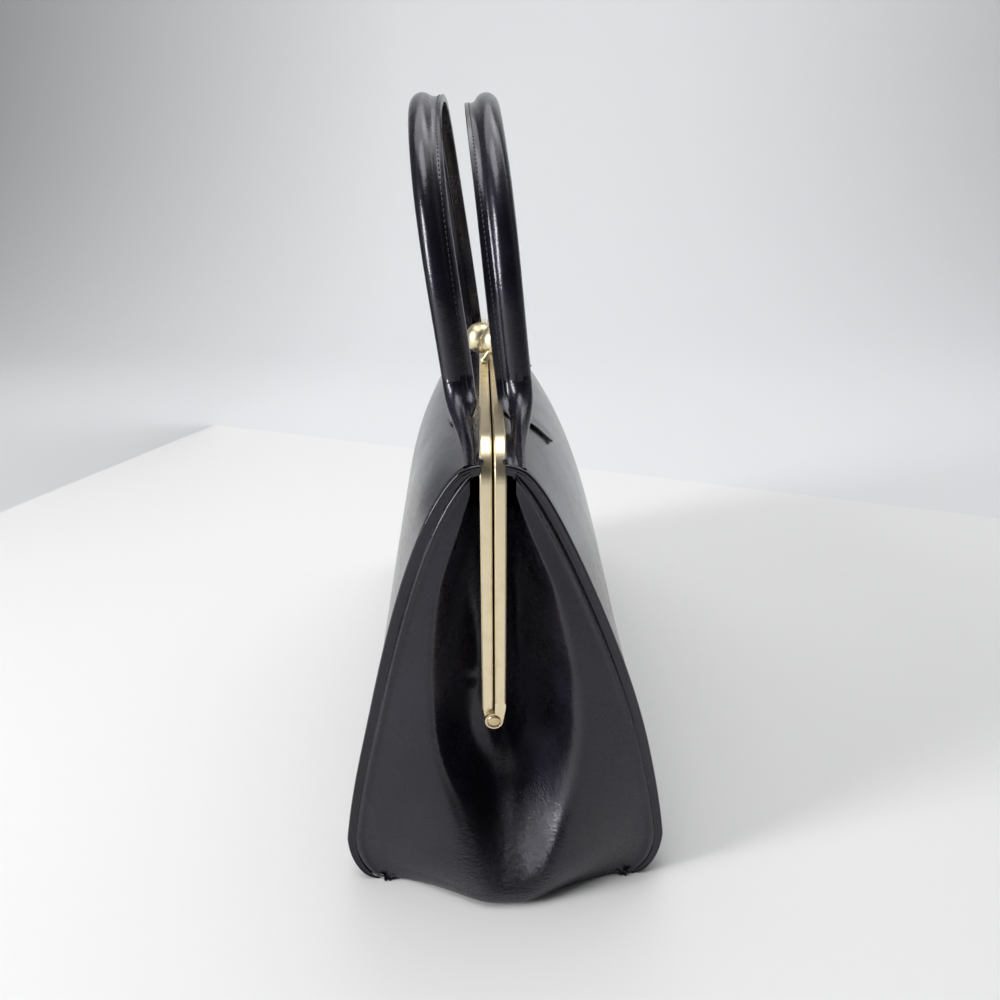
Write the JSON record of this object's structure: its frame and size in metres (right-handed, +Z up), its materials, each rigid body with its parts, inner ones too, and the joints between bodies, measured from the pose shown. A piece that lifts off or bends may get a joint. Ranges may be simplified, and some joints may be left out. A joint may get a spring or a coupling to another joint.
{
  "type": "kiss lock frame purse",
  "caption": "Structured leather handbag that hangs in a hinged brass frame, closed by a kiss lock and carried by rolled leather handles.",
  "frame": {"origin": "middle of the base on the surface that the bag stands on", "axes": "+X along the bag towards its right end seen from the front, -Y towards the front panel, +Z up"},
  "size_m": [0.3156, 0.129, 0.2988],
  "materials": {
    "body_leather": "smooth glossy black calf",
    "handle_leather": "smooth glossy black calf",
    "piping_leather": "glossy black, stitched",
    "frame_brass": "aged pale gold, softly brushed",
    "ball_brass": "polished pale gold",
    "rivet_brass": "aged, satin",
    "lining": "plain woven cloth",
    "board": "pressed fibre board",
    "paper_cord": "twisted paper",
    "handle_cord": "cotton cord"
  },
  "bodies": {
    "body": {"right_hinge_rivet": "rivet_brass", "left_hinge_rivet": "rivet_brass", "right_hinge_washer": "rivet_brass", "left_hinge_washer": "rivet_brass", "front_lower_panel": "body_leather", "back_lower_panel": "body_leather", "right_gusset": "body_leather", "left_gusset": "body_leather", "right_piping": "piping_leather", "left_piping": "piping_leather", "base_panel": "body_leather", "base_board": "board", "front_lining": "lining", "back_lining": "lining", "right_gusset_lining": "lining", "left_gusset_lining": "lining", "base_lining": "lining", "slip_pocket": "lining"},
    "back_frame": {"back_frame_half": "frame_brass", "back_lock_ball": "ball_brass", "back_lock_rivets": "rivet_brass", "back_channel_cord": "paper_cord", "back_upper_panel": "body_leather", "back_right_tab": "handle_leather", "back_left_tab": "handle_leather"},
    "front_frame": {"front_frame_half": "frame_brass", "front_lock_ball": "ball_brass", "front_lock_rivets": "rivet_brass", "front_channel_cord": "paper_cord", "front_upper_panel": "body_leather", "front_right_tab": "handle_leather", "front_left_tab": "handle_leather"},
    "back_handle": {"back_handle_cover": "handle_leather", "back_handle_core": "handle_cord"},
    "front_handle": {"front_handle_cover": "handle_leather", "front_handle_core": "handle_cord"}
  },
  "joints": [
    {"name": "back_half_hinge", "type": "hinge", "parent": "body", "child": "back_frame", "pos_m": [0, -0.0045, 0.072], "axis": [1, 0, 0], "range_deg": [-32, 0], "deforming": ["back_upper_panel", "back_lower_panel", "right_gusset", "left_gusset", "right_piping", "left_piping", "back_lining", "right_gusset_lining", "left_gusset_lining", "slip_pocket"]},
    {"name": "frame_hinge", "type": "hinge", "parent": "back_frame", "child": "front_frame", "pos_m": [0, -0.0045, 0.072], "axis": [1, 0, 0], "range_deg": [0, 64], "deforming": ["front_upper_panel", "front_lower_panel", "front_lining"]},
    {"name": "front_handle_fold", "type": "hinge", "parent": "front_frame", "child": "front_handle", "pos_m": [0, -0.018, 0.17945], "axis": [1, 0, 0], "range_deg": [-2, 35]},
    {"name": "back_handle_fold", "type": "hinge", "parent": "back_frame", "child": "back_handle", "pos_m": [0, 0.009, 0.17945], "axis": [1, 0, 0], "range_deg": [-40, 0]}
  ],
  "couplings": [
    {"joint": "back_half_hinge", "follows": "frame_hinge", "ratio": -0.5}
  ]
}
